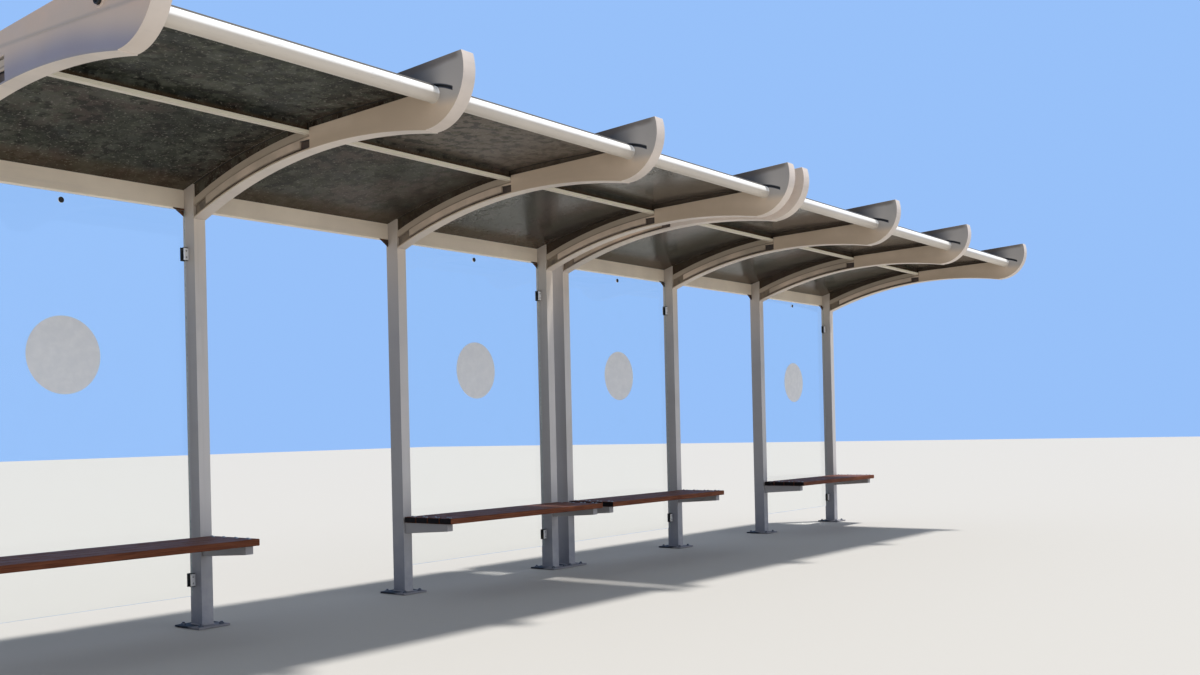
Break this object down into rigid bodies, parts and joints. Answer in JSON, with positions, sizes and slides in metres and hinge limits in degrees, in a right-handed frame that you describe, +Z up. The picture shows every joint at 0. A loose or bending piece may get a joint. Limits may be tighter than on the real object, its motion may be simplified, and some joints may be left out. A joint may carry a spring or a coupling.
{
  "type": "bus shelter",
  "caption": "Cantilever bus shelter with curved box ribs, upswept noses, smoked roof sheets, frameless glass backs and slatted wooden benches.",
  "frame": {"origin": "middle of the underside of the first post's base plate", "axes": "+X along the shelter towards its far end, -Y towards the street under the roof, +Z up"},
  "size_m": [9.392, 2.152, 2.6733],
  "materials": {
    "frame_paint": "satin",
    "tube_paint": "satin",
    "dark_seal": "matte",
    "smoked_sheet": "gloss",
    "glass": "gloss",
    "clamp_white": "satin",
    "frosted": "matte",
    "seat_wood": "satin",
    "arm_paint": "satin"
  },
  "bodies": {
    "root": {"post_1": "frame_paint", "post_2": "frame_paint", "post_3": "frame_paint", "post_4": "frame_paint", "post_5": "frame_paint", "post_6": "frame_paint", "post_7": "frame_paint", "post_8": "frame_paint", "rib_1": "frame_paint", "rib_2": "frame_paint", "rib_3": "frame_paint", "rib_4": "frame_paint", "rib_5": "frame_paint", "rib_6": "frame_paint", "rib_7": "frame_paint", "rib_8": "frame_paint", "rib_channels": "frame_paint", "rear_beam_1": "frame_paint", "rear_beam_2": "frame_paint", "gussets": "frame_paint", "front_tube_1": "tube_paint", "front_tube_2": "tube_paint", "purlin_1": "tube_paint", "purlin_2": "tube_paint", "roof_seals": "dark_seal", "roof_1": "smoked_sheet", "roof_2": "smoked_sheet", "roof_3": "smoked_sheet", "roof_4": "smoked_sheet", "roof_5": "smoked_sheet", "roof_6": "smoked_sheet", "glass_1": "glass", "glass_2": "glass", "glass_3": "glass", "glass_4": "glass", "glass_clamps": "clamp_white", "glass_discs": "frosted", "seat_1": "seat_wood", "seat_2": "seat_wood", "seat_3": "seat_wood", "seat_4": "seat_wood", "seat_arms": "arm_paint"}
  },
  "joints": []
}
